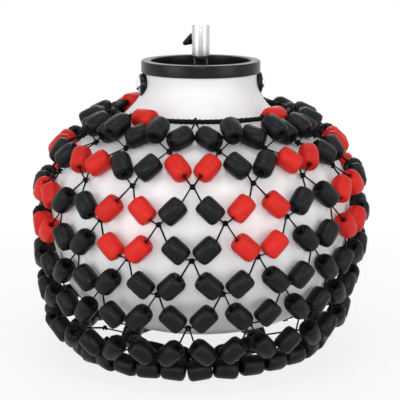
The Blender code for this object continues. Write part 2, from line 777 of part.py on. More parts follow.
def main():
    for item in list(bpy.data.objects):
        bpy.data.objects.remove(item)

    white = make_material("white moulded shell", (0.86, 0.86, 0.87), 0.3)
    rubber = make_material("black rubber", (0.02, 0.02, 0.023), 0.5)
    chrome = make_material("bright chrome", (0.82, 0.82, 0.83), 0.12, 1.0)
    steel = make_material("zinc steel", (0.6, 0.6, 0.6), 0.35, 1.0)
    felt = make_material("grey felt", (0.2, 0.2, 0.2), 0.95)
    black = make_material("black bead", (0.02, 0.02, 0.024), 0.45)
    red = make_material("red bead", (0.72, 0.03, 0.025), 0.45)

    strap_line = add_empty("strap_line", (0, 0, -BOLT_DROP), BOLT_LINE_TURN)
    bolt_hole = cylinder_cutter(
        "bolt_hole",
        BOLT_RADIUS + SEAT_GAP,
        -BELLY_RADIUS,
        BELLY_RADIUS,
        BOLT_SIDES,
        strap_line,
        Matrix.Rotation(math.pi / 2, 4, "Y"),
    )
    add_shell(white, bolt_hole)
    add_rim(rubber)
    add_clutch(chrome, steel, felt)
    add_strap(steel, bolt_hole, strap_line)
    add_neck_bolt("right", 0.0, bolt_hole, chrome, steel, rubber)
    add_neck_bolt("left", math.pi, bolt_hole, chrome, steel, rubber)
    add_grommet(rubber)

    net = Net()
    net_axis = add_empty("net_axis", (0, 0, 0))
    add_collar(net, net_axis, rubber, red)
    add_net_cords(net, net_axis, black, red)
    add_base_cord(net, net_axis, black)


main()
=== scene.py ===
import math
import random

import bpy
from mathutils import Matrix, Vector


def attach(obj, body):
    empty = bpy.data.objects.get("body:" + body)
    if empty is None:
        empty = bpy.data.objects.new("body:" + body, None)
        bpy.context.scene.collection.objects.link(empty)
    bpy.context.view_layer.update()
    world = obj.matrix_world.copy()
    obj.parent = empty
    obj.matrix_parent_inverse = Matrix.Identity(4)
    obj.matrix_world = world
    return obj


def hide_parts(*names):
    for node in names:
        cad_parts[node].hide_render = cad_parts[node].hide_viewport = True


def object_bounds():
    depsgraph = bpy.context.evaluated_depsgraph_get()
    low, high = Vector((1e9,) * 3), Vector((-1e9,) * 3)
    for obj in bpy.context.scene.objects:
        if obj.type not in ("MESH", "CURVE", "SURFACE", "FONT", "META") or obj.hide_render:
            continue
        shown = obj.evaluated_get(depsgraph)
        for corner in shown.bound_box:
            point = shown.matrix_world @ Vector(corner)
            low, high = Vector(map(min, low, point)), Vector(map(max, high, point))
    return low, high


# Looks of a beaded gourd shaker that clamps on a hi-hat pull rod. Metres, +Z up along the rod and -Y to
# the front. An azimuth is an angle round Z, from the front and positive towards +X. A station is a
# distance down the gourd's outline. The sizes and the net's layout repeat those of the solids.

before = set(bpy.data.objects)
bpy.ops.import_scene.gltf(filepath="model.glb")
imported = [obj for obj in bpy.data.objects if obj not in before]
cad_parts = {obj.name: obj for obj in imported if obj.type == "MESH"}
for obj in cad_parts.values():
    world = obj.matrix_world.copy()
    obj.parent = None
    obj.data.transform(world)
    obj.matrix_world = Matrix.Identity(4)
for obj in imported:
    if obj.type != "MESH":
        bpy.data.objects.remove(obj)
cad_low, cad_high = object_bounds()

# Fits
SEAT_GAP = 0.0003

# Gourd shell
SHELL_WALL = 0.003
NECK_RADIUS = 0.0414
NECK_LENGTH = 0.014
FLARE_DROP = 0.015
FLARE_REACH = 0.018
SHOULDER_ANGLE = math.radians(52)
BELLY_RADIUS = 0.112
BELLY_DROP = 0.111
SHOULDER_RISE = 0.072
BASE_DEPTH = 0.0872
SHOULDER_FULLNESS = 2.5
BASE_FULLNESS = 2.8
SHOULDER_SLOPE_STEP = 0.001
OUTLINE_STEPS = 20
BASE_STEPS = 24
GOURD_SIDES = 128
NECK_BORE = NECK_RADIUS - SHELL_WALL

# Rim over the neck's lip
RIM_HEIGHT = 0.009
RIM_TOP = 0.0025
RIM_OUTER_LEG = 0.0024
RIM_INNER_LEG = 0.0011
RIM_ROUNDING = 0.0011
RIM_OUTER_FOOT_ROUNDING = 0.0008
RIM_INNER_FOOT_ROUNDING = 0.0003
LIP_DROP = RIM_TOP + SEAT_GAP

# Grommet
GROMMET_BORE = 0.0055
GROMMET_WAIST = 0.0085
GROMMET_FLANGE = 0.0125
GROMMET_FLANGE_HEIGHT = 0.002
GROMMET_SEAT_MARGIN = 0.0015
GROMMET_ROUNDING = 0.0008
GROMMET_SIDES = 48

# Strap
STRAP_THICKNESS = 0.003
STRAP_DROP = 0.025

# Threads
THREAD_PITCH = 0.00125
THREAD_DEPTH = 0.0007

# Clutch
ROD_BORE = 0.0034
ROD_BORE_ROUNDING = 0.0006
BARREL_RADIUS = 0.0065
BARREL_BASE = 0.0025
BARREL_TOP = 0.026
BARREL_ROUNDING = 0.0009
BARREL_SIDES = 48
STEM_RADIUS = 0.0052
STEM_TAIL = 0.003
# The chrome stem below the barrel is painted nearly black, a painted reflection of the gourd's dark
# inside; this margin reaches up past the barrel's base.
STEM_PAINTED_REFLECTION_MARGIN = 0.0002

# Clutch nuts and washers
CLUTCH_NUT_RADIUS = 0.009
CLUTCH_NUT_HEIGHT = 0.005
CLUTCH_NUT_ROUNDING = 0.0006
CLUTCH_WASHER_RADIUS = 0.010
CLUTCH_WASHER_HEIGHT = 0.0022
CLUTCH_WASHER_ROUNDING = 0.0006
CLUTCH_WASHER_SIDES = 40
KNURL_SIDES = 72
KNURL_DEPTH = 0.0005
KNURL_MARGIN = 0.0004
NUT_BORE = STEM_RADIUS + SEAT_GAP
UPPER_WASHER = -STRAP_DROP + SEAT_GAP
UPPER_NUT = UPPER_WASHER + CLUTCH_WASHER_HEIGHT + SEAT_GAP
LOWER_WASHER = -STRAP_DROP - STRAP_THICKNESS - SEAT_GAP - CLUTCH_WASHER_HEIGHT
LOWER_NUT = LOWER_WASHER - SEAT_GAP - CLUTCH_NUT_HEIGHT
STEM_END = LOWER_NUT - STEM_TAIL

# Wing screw
SCREW_AZIMUTH = math.radians(-150)
SCREW_HEIGHT = 0.0150
SCREW_RADIUS = 0.0024
SCREW_NECK = 0.0022
SCREW_SIDES = 24
SCREW_HOLE_SIDES = 32
WING_DEPTH = 0.0045
WING_HALF_SPAN = 0.0095
WING_ROOT = 0.0043
WING_TIP = 0.0013
WING_TURN = math.radians(24)
WING_EAR_DEPTH = 0.0036
WING_EAR_THINNING = 0.45
WING_ROUNDING = 0.0009
HUB_RADIUS = 0.0036
HUB_FACE_RADIUS = 0.00288
HUB_FACE_ROUNDING = 0.0006
HUB_BACK_RADIUS = 0.00324
HUB_BACK_ROUNDING = 0.0004
WING_BACK = BARREL_RADIUS + SCREW_NECK

# Bolts through the neck, their pads and nuts
BOLT_LINE_TURN = math.radians(10)
BOLT_DROP = 0.0175
BOLT_RADIUS = 0.0025
BOLT_HEAD_RADIUS = 0.0047
BOLT_HEAD_HEIGHT = 0.0028
BOLT_TAIL = 0.0012
BOLT_SIDES = 32
DOME_STEPS = 8
BOLT_NUT_RADIUS = 0.0046
BOLT_NUT_HEIGHT = 0.004
BOLT_NUT_CHAMFER = 0.0004
BOLT_NUT_BORE_SIDES = 24
PAD_RADIUS = 0.0082
PAD_THICKNESS = 0.0042
PAD_ROUNDING = 0.0012
PAD_SIDES = 40
NECK_FORM_SIDES = 64
PAD_FACE = NECK_RADIUS + PAD_THICKNESS
BOLT_NUT_END = NECK_BORE - STRAP_THICKNESS - 2 * SEAT_GAP - BOLT_NUT_HEIGHT

# Beads
BEAD_RADIUS = 0.0070
BEAD_LENGTH = 0.0165
BEAD_EDGE = 0.0022
BEAD_HOLE = 0.0023
BEAD_HOLE_DIMPLE = 0.0007
BEAD_GROWTH = 0.0003
BEAD_STRETCH = 0.00045
BEAD_SIDES = 12
BEAD_TONES = (0.9, 1.1)
# Rings of a bead's end: how far in from its belly, and how far back from its end
BEAD_END_RINGS = ((0.0032, 0.0), (0.0010, 0.0009), (0.0001, 0.0031))

# Cords and knots
CORD_RADIUS = 0.00065
CORD_ROUNDNESS = 1
KNOT_RADIUS = 0.0015
KNOT_TURN_RADIUS = 0.0014
KNOT_TURN_SIDES = 8
KNOT_STRAND_RADIUS = 0.0008
KNOT_STRAND_SIDES = 5
KNOT_TURN_RISE = 0.0008
KNOT_TURN_TILT = 0.25
COLLAR_CORD_RADIUS = 0.0019
COLLAR_STRANDS = 3
COLLAR_STRAND_RADIUS = 0.00114
COLLAR_LAYS = 36
COLLAR_STEPS_PER_LAY = 12
BASE_CORD_RADIUS = 0.0009
BASE_TIE_RADIUS = 0.001

# Net: its columns of cords and rows of knots
COLUMNS = 16
ROWS = 8
FIRST_AZIMUTH = math.radians(-3)
COLLAR_SEAT_RADIUS = 0.060
FIRST_KNOT_DROP = 0.0274
KNOT_DROP = 0.0240
KNOT_LIFT = 0.003
BEAD_CLEARANCE = 0.0005
NET_OUTLINE_STEPS = 48
BEAD_LIFT = BEAD_RADIUS + BEAD_CLEARANCE
COLUMN_STEP = 2 * math.pi / COLUMNS
KNOT_SPACING = math.hypot((BELLY_RADIUS + KNOT_LIFT) * COLUMN_STEP / 2, KNOT_DROP)

# First row of beads, crowded at the front
CROWDED_COLUMNS = 2
FLAT_BEAD_DROP = 0.0180
FLAT_BEAD_LIFT = 0.0030
HIGH_BEAD_DROP = 0.0206
HIGH_BEAD_LIFT = 0.0072
HIGH_BEAD_TURN = math.radians(5.25)
LOW_BEAD_DROP = 0.0195
LOW_BEAD_TURN = math.radians(6.95)
LOW_BEAD_TILT = math.radians(42)

# Lower rows of beads
BEAD_SLIDE = 0.12
BEAD_SAG = math.radians(7)
LIFT_ROOM = 0.0007
LAST_BEAD_DROP = 0.010
LAST_BEAD_SKEW = 0.16

# How the net hangs
UNDER_GAP = 0.0073
NET_LEAN = math.radians(9)
CURL_RADIUS = 0.030
NET_SLIP = 0.0035
FIRST_ROW_SLIP = 0.22
NET_SWAY = 0.06
SWAY_DROP = 0.123
PARTING_STEPS = 8
CURL_STEPS = 24

# Turns over the collar cord, and the bays of the beads on it
LOOP_STEPS = 12
LOOP_HALF_WIDTH = 0.0011
COLLAR_BEAD_BAYS = (2, 6, 10, 14)

# Rows with red beads
RED_ROWS_EVEN_COLUMNS = (2,)
RED_ROWS_ODD_COLUMNS = (3, 4)

# Seeds of what differs from bead to bead
SLIDE_SEED = 3
SKEW_SEED = 5
BEAD_SEED = 11

# Meshes: edges sharper than these angles in degrees stay sharp
MERGE_DISTANCE = 1e-6
SHARP_EDGE = 35
SHARP_NET_EDGE = 60
SHARP_KNURL_EDGE = 20

# Camera
AIM = Vector((-0.00055, 0, -0.106))
CAMERA_DISTANCE = 0.927
CAMERA_PITCH = math.radians(12.36)
CAMERA_LENS = 110.25
CAMERA_SENSOR = 36

# Studio. The floor's shadow fades out between two distances from its middle, and is part white within.
FILL_STRENGTH = 0.3
FLOOR_SIZE = 12
FLOOR_GAP = 0.001
SHADOW_FADE_START = 0.12
SHADOW_FADE_END = 0.45
SHADOW_WHITE = 0.82
FLAG_SIZE = (1.5, 2.0)
FLAG_PLACE = (0, -1.7, 0.15)
# Each softbox has a place, a width and height, and a power in watts
SOFTBOXES = {
    "left_softbox": ((-1.05, -0.85, 0.12), (0.8, 1.1), 7),
    "right_softbox": ((1.05, -0.85, 0.12), (0.8, 1.1), 5.6),
    "front_softbox": ((0, -1.3, 0.35), (0.5, 0.25), 4.8),
    "top_softbox": ((0, -0.45, 1.2), (0.6, 0.45), 3.6),
    "back_softbox": ((0, 1.2, 0.75), (0.9, 0.5), 4.5),
}

# Patterns of the materials. Most of a grain's noise lies between the low and the high value.
MM = 0.001
DRIFT_DETAIL = 3
GRAIN_DETAIL = 2
GRAIN_LOW = 0.3
GRAIN_HIGH = 0.7


# Materials


def linear(hex_colour):
    """A linear colour from sRGB hex."""
    channels = [int(hex_colour[i : i + 2], 16) / 255 for i in (1, 3, 5)]
    return [c / 12.92 if c <= 0.04045 else ((c + 0.055) / 1.055) ** 2.4 for c in channels] + [1.0]


def add_node(tree, kind, settings=(), links=()):
    """Adds a node: settings are (property or socket, value) pairs, links are (socket, source) pairs."""
    node = tree.nodes.new(kind)
    for name, value in settings:
        if isinstance(name, int) or name in node.inputs:
            node.inputs[name].default_value = value
        else:
            setattr(node, name, value)
    for name, source in links:
        tree.links.new(source, node.inputs[name])
    return node


def finish(name, tones, drift, grain, relief, roughness, metallic=0.0, gloss=0.5, lay=(1, 1, 1)):
    """A surface whose colour drifts between two tones over one size, with a grain of another size.

    The sizes are in metres. The grain moves the roughness between two values and stands up by a relief.
    A lay under 1 draws both out along that axis.
    """
    material = bpy.data.materials.new(name)
    material.use_nodes = True
    tree = material.node_tree
    shader = tree.nodes["Principled BSDF"]
    shader.inputs["Metallic"].default_value = metallic
    shader.inputs["Specular IOR Level"].default_value = gloss
    object_place = add_node(tree, "ShaderNodeTexCoord").outputs["Object"]
    place = add_node(tree, "ShaderNodeMapping", [("Scale", lay)], [("Vector", object_place)]).outputs[0]
    drifting = add_node(
        tree, "ShaderNodeTexNoise", [("Scale", 1 / drift), ("Detail", DRIFT_DETAIL)], [("Vector", place)]
    )
    colour = add_node(
        tree,
        "ShaderNodeMix",
        [("data_type", "RGBA"), (6, linear(tones[0])), (7, linear(tones[1]))],
        [(0, drifting.outputs["Fac"])],
    )
    grains = add_node(
        tree, "ShaderNodeTexNoise", [("Scale", 1 / grain), ("Detail", GRAIN_DETAIL)], [("Vector", place)]
    )
    rough = add_node(
        tree,
        "ShaderNodeMapRange",
        [
            ("From Min", GRAIN_LOW),
            ("From Max", GRAIN_HIGH),
            ("To Min", roughness[0]),
            ("To Max", roughness[1]),
        ],
        [("Value", grains.outputs["Fac"])],
    )
    bump = add_node(tree, "ShaderNodeBump", [("Distance", relief)], [("Height", grains.outputs["Fac"])])
    tree.links.new(colour.outputs[2], shader.inputs["Base Color"])
    tree.links.new(rough.outputs["Result"], shader.inputs["Roughness"])
    tree.links.new(bump.outputs["Normal"], shader.inputs["Normal"])
    return material


def bead_finish(name, tones, roughness):
    """Moulded bead: each bead has its own tone, with a soft bloom from handling."""
    material = finish(
        name, tones, drift=6 * MM, grain=1.1 * MM, relief=0.06 * MM, roughness=roughness, gloss=0.17
    )
    tree = material.node_tree
    shader = tree.nodes["Principled BSDF"]
    colour = shader.inputs["Base Color"].links[0].from_socket
    tone = add_node(tree, "ShaderNodeAttribute", [("attribute_name", "bead_tone")])
    toned = add_node(
        tree, "ShaderNodeHueSaturation", links=[("Value", tone.outputs["Fac"]), ("Color", colour)]
    )
    tree.links.new(toned.outputs["Color"], shader.inputs["Base Color"])
    return material


# The real grain of rubber, plate and moulded plastic is too fine to show, so here it is drawn coarser.

# Gel-coated moulded shell: near white with a soft gloss, and the faint waviness of a mould under it.
SHELL_WHITE = finish(
    "white gel-coated moulding",
    tones=("#F4F4F5", "#F1F1F3"),
    drift=90 * MM,
    grain=20 * MM,
    relief=0.01 * MM,
    roughness=(0.3, 0.36),
    gloss=0.25,
)
# Bare inner skin of the moulding: dark and dull, with a coarse lay-up grain.
SHELL_INSIDE = finish(
    "bare inner skin",
    tones=("#161618", "#202022"),
    drift=20 * MM,
    grain=1.5 * MM,
    relief=0.2 * MM,
    roughness=(0.6, 0.8),
    gloss=0.2,
)
# Extruded rubber: charcoal with a satin skin, a fine grain and pale reflections at low angles.
RUBBER = finish(
    "satin black rubber",
    tones=("#131416", "#1A1B1D"),
    drift=12 * MM,
    grain=0.7 * MM,
    relief=0.03 * MM,
    roughness=(0.2, 0.3),
    gloss=0.2,
)
# Plated steel: a bright mirror that handling has slightly clouded.
CHROME = finish(
    "polished chrome plate",
    tones=("#E4E4E6", "#F0F0F1"),
    drift=4 * MM,
    grain=0.8 * MM,
    relief=0.004 * MM,
    roughness=(0.07, 0.14),
    metallic=1.0,
)
# Satin plate on the barrel: a fine polish along its length spreads its reflections into soft bands.
SATIN = finish(
    "satin chrome plate",
    tones=("#C8C8CA", "#D2D2D4"),
    drift=3 * MM,
    grain=0.8 * MM,
    relief=0.001 * MM,
    roughness=(0.32, 0.38),
    metallic=1.0,
    lay=(1, 1, 0.03),
)
# Chrome on the cast wing, painted nearly black as a painted reflection of the dark rim and inside that it
# mirrors: smooth, with clear reflections.
WING_PAINTED_REFLECTION = finish(
    "chrome wing with painted dark reflection",
    tones=("#232326", "#323236"),
    drift=4 * MM,
    grain=0.8 * MM,
    relief=0.004 * MM,
    roughness=(0.1, 0.18),
    metallic=1.0,
)
# Stem thread: chrome painted nearly black, a painted reflection of the gourd's dark inside, with small
# glints on its crests.
STEM_PAINTED_REFLECTION = finish(
    "chrome thread with painted dark reflection",
    tones=("#2A2A2E", "#3E3E43"),
    drift=2 * MM,
    grain=0.4 * MM,
    relief=0.01 * MM,
    roughness=(0.3, 0.45),
    metallic=1.0,
)
# Zinc plate on pressed steel: a dull grey metal with cloudy spangle.
ZINC = finish(
    "zinc plated steel",
    tones=("#9C9DA0", "#BBBCBE"),
    drift=3 * MM,
    grain=0.5 * MM,
    relief=0.02 * MM,
    roughness=(0.3, 0.46),
    metallic=1.0,
)
# Pressed wool felt: dark grey and dull, with a fibrous nap.
FELT = finish(
    "pressed wool felt",
    tones=("#3A3A3C", "#56565A"),
    drift=1.2 * MM,
    grain=0.4 * MM,
    relief=0.3 * MM,
    roughness=(0.9, 1.0),
)
# Waxed cord: black, with a faint shine.
CORD = finish(
    "waxed black cord",
    tones=("#040405", "#0A0A0B"),
    drift=2 * MM,
    grain=0.4 * MM,
    relief=0.15 * MM,
    roughness=(0.5, 0.65),
    gloss=0.12,
)
# Moulded beads: a soft matt skin that catches a broad pale sheen.
BEAD_BLACK = bead_finish("matt black moulded plastic", ("#090A0D", "#101216"), (0.34, 0.46))
BEAD_RED = bead_finish("matt red moulded plastic", ("#C8211A", "#D62A22"), (0.36, 0.48))


# Modelling


def only(piece):
    """Selects one piece and nothing else."""
    bpy.ops.object.select_all(action="DESELECT")
    piece.select_set(True)
    bpy.context.view_layer.objects.active = piece


def begin(name, add, **settings):
    """Adds a primitive with nothing else selected."""
    bpy.ops.object.select_all(action="DESELECT")
    add(**settings)
    piece = bpy.context.object
    piece.name = name
    piece.data.name = name
    return piece


def turned(name, outline, sides):
    """Draws a half section of (radius, height) points by extruding a vertex, and spins it round Z."""
    piece = begin(name, bpy.ops.mesh.primitive_plane_add)
    points = [Vector((radius, 0, height)) for radius, height in outline]
    bpy.ops.object.mode_set(mode="EDIT")
    bpy.ops.mesh.merge(type="CENTER")
    bpy.ops.transform.translate(value=points[0])
    for before, after in zip(points, points[1:]):
        bpy.ops.mesh.extrude_vertices_move(TRANSFORM_OT_translate={"value": after - before})
    bpy.ops.mesh.select_all(action="SELECT")
    bpy.ops.mesh.spin(steps=sides, angle=2 * math.pi, center=(0, 0, 0), axis=(0, 0, 1))
    bpy.ops.mesh.select_all(action="SELECT")
    bpy.ops.mesh.remove_doubles(threshold=MERGE_DISTANCE)
    bpy.ops.mesh.normals_make_consistent(inside=False)
    bpy.ops.object.mode_set(mode="OBJECT")
    return piece


def eased(outline, steps=4):
    """Closes an outline and rounds each corner that has a setback as its third value."""
    points = []
    for i, corner in enumerate(outline):
        here = Vector(corner[:2])
        if len(corner) < 3:
            points.append(here)
            continue
        before = Vector(outline[i - 1][:2]) - here
        after = Vector(outline[(i + 1) % len(outline)][:2]) - here
        start = here + before.normalized() * corner[2]
        end = here + after.normalized() * corner[2]
        for step in range(steps + 1):
            t = step / steps
            points.append(start * (1 - t) ** 2 + here * 2 * t * (1 - t) + end * t * t)
    return points + points[:1]


def cut(piece, tool):
    """Cuts a tool's shape out of a piece, and removes the tool."""
    modifier = piece.modifiers.new("cut", "BOOLEAN")
    modifier.object = tool
    modifier.solver = "EXACT"
    only(piece)
    bpy.ops.object.modifier_apply(modifier=modifier.name)
    bpy.data.objects.remove(tool)


def bevelled(piece, width, segments=2):
    """Rounds a piece's edges."""
    modifier = piece.modifiers.new("edges", "BEVEL")
    modifier.width = width
    modifier.segments = segments
    modifier.limit_method = "ANGLE"
    only(piece)
    bpy.ops.object.modifier_apply(modifier=modifier.name)


def joined(name, pieces):
    """Joins pieces into the first of them."""
    bpy.ops.object.select_all(action="DESELECT")
    for piece in pieces:
        piece.select_set(True)
    bpy.context.view_layer.objects.active = pieces[0]
    if len(pieces) > 1:
        bpy.ops.object.join()
    pieces[0].name = name
    pieces[0].data.name = name
    return pieces[0]


def copied(master, matrix):
    """A copy of a master with its own mesh, which a matrix puts in place."""
    piece = master.copy()
    piece.data = master.data.copy()
    bpy.context.collection.objects.link(piece)
    piece.data.transform(matrix)
    return piece


def fitted(piece, material, body, node, smooth=SHARP_EDGE):
    """Gives a piece its finish and its place in the frame."""
    piece.data.materials.clear()
    piece.data.materials.append(material)
    only(piece)
    bpy.ops.object.shade_smooth_by_angle(angle=math.radians(smooth))
    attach(piece, body)
    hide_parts(node)


def tube(name, points, radius, cyclic=False):
    """A cord laid as a curve through points."""
    curve = bpy.data.curves.new(name, "CURVE")
    curve.dimensions = "3D"
    curve.bevel_depth = radius
    curve.bevel_resolution = CORD_ROUNDNESS
    curve.use_fill_caps = True
    spline = curve.splines.new("POLY")
    spline.points.add(len(points) - 1)
    spline.use_cyclic_u = cyclic
    for point, place in zip(spline.points, points):
        point.co = (*place, 1)
    piece = bpy.data.objects.new(name, curve)
    bpy.context.collection.objects.link(piece)
    only(piece)
    bpy.ops.object.convert(target="MESH")
    return bpy.context.object


# Outline of the gourd


def polar(azimuth, radius, height):
    return Vector((radius * math.sin(azimuth), -radius * math.cos(azimuth), height))


def across(azimuth):
    """Direction round the gourd, towards a greater azimuth."""
    return Vector((math.cos(azimuth), math.sin(azimuth), 0))


def superellipse(angle, rise, fullness=SHOULDER_FULLNESS):
    """Point on the belly: angle 0 is the belly line, 90 degrees is the pole."""
    power = 2 / fullness
    radius = BELLY_RADIUS * math.cos(angle) ** power
    return Vector((radius, -BELLY_DROP + rise * math.sin(angle) ** power))


def bezier(handles, t):
    a, b, c, d = handles
    s = 1 - t
    return a * s**3 + b * (3 * s * s * t) + c * (3 * s * t * t) + d * t**3


def gourd_outline(steps):
    """Outer surface of the gourd from its lip to the belly."""
    neck_foot = Vector((NECK_RADIUS, -NECK_LENGTH))
    shoulder = superellipse(SHOULDER_ANGLE, SHOULDER_RISE)
    slope = shoulder - superellipse(SHOULDER_ANGLE + SHOULDER_SLOPE_STEP, SHOULDER_RISE)
    flare = (
        neck_foot,
        neck_foot - Vector((0, FLARE_DROP)),
        shoulder - slope.normalized() * FLARE_REACH,
        shoulder,
    )
    points = [Vector((NECK_RADIUS, -LIP_DROP))]
    points += [bezier(flare, i / steps) for i in range(steps)]
    for i in range(steps + 1):
        points.append(superellipse(SHOULDER_ANGLE * (1 - i / steps), SHOULDER_RISE))
    return points


def base_outline(steps):
    """Outer surface from just below the belly to the rod hole, with a flat seat round the hole."""
    seat = GROMMET_FLANGE + GROMMET_SEAT_MARGIN
    last = math.acos((seat / BELLY_RADIUS) ** (BASE_FULLNESS / 2))
    points = [superellipse(last * i / steps, -BASE_DEPTH, BASE_FULLNESS) for i in range(1, steps + 1)]
    return points + [Vector((GROMMET_WAIST + SEAT_GAP, points[-1].y))]


def inset_outline(points, wall):
    """Moves each point of an outline towards the inside of the gourd."""
    inner = []
    for i, point in enumerate(points):
        along = (points[min(i + 1, len(points) - 1)] - points[max(i - 1, 0)]).normalized()
        inner.append(point + Vector((along.y, -along.x)) * wall)
    return inner


# Layout of the net


class Meridian:
    """A dense outline with lengths along it."""

    def __init__(self, points):
        self.points = points
        self.lengths = [0.0]
        for a, b in zip(points, points[1:]):
            self.lengths.append(self.lengths[-1] + (b - a).length)

    def station_at_radius(self, radius):
        for point, length in zip(self.points, self.lengths):
            if point.x >= radius:
                return length
        return self.lengths[-1]

    def at(self, station):
        """Point and outward normal at a station."""
        i = 1
        while i < len(self.points) - 1 and self.lengths[i] < station:
            i += 1
        a, b = self.points[i - 1], self.points[i]
        share = (station - self.lengths[i - 1]) / (self.lengths[i] - self.lengths[i - 1])
        along = (b - a).normalized()
        return a.lerp(b, share), Vector((-along.y, along.x))

    def radius(self, station, lift):
        point, normal = self.at(station)
        return (point + normal * lift).x


def knot_rows(meridian, collar):
    """Stations of the knot rows, from the collar down, one cord length apart.

    How far a cord runs sideways is taken at the girth a third of its length below the upper knot.
    """
    stations = [collar, collar + FIRST_KNOT_DROP]
    while len(stations) <= ROWS:
        last = stations[-1]
        sideways = meridian.radius(last + KNOT_SPACING / 3, KNOT_LIFT) * COLUMN_STEP / 2
        stations.append(last + math.sqrt(KNOT_SPACING**2 - sideways**2))
    return stations


def net_meridian():
    """The gourd's outline past the belly, then straight down leaning in, then turned under the gourd."""
    points = gourd_outline(NET_OUTLINE_STEPS)
    bottom = -BELLY_DROP - BASE_DEPTH - UNDER_GAP
    power = 2 / BASE_FULLNESS
    parting = math.atan((math.tan(NET_LEAN) * BASE_DEPTH / BELLY_RADIUS) ** (1 / (2 - power)))
    for i in range(1, PARTING_STEPS + 1):
        points.append(superellipse(parting * i / PARTING_STEPS, -BASE_DEPTH, BASE_FULLNESS))
    side = Vector((math.cos(NET_LEAN), -math.sin(NET_LEAN)))
    run = (points[-1].y - bottom - CURL_RADIUS * (1 + side.y)) / side.x
    centre = points[-1] + Vector((side.y, -side.x)) * run - side * CURL_RADIUS
    for i in range(CURL_STEPS + 1):
        angle = NET_LEAN + (math.pi / 2 - NET_LEAN) * i / CURL_STEPS
        points.append(centre + Vector((math.cos(angle), -math.sin(angle))) * CURL_RADIUS)
    points.append(Vector((-BELLY_RADIUS, points[-1].y)))
    meridian = Meridian(points)
    return meridian, knot_rows(meridian, meridian.station_at_radius(COLLAR_SEAT_RADIUS))


def slip(row, azimuth):
    """How far a row has slipped down, more on the left and less on the right. The collar hasn't."""
    share = {0: 0.0, 1: FIRST_ROW_SLIP}.get(row, 1.0)
    return -NET_SLIP * share * math.sin(azimuth)


def swayed(point):
    """The lower net hangs a little to the left."""
    return point - Vector((NET_SWAY * max(-SWAY_DROP - point.z, 0.0), 0, 0))


def lift_room(row):
    """Room under two rows below the belly, which come near the gourd when the net is lifted."""
    return LIFT_ROOM if row in (ROWS - 3, ROWS - 2) else 0.0


def faces_front(column, side):
    """Whether a leg hangs on the side of its cord that is nearer the front."""
    return side == (-1 if column < COLUMNS // 2 else 1)


def is_red(column, row):
    return row in (RED_ROWS_ODD_COLUMNS if column % 2 else RED_ROWS_EVEN_COLUMNS)


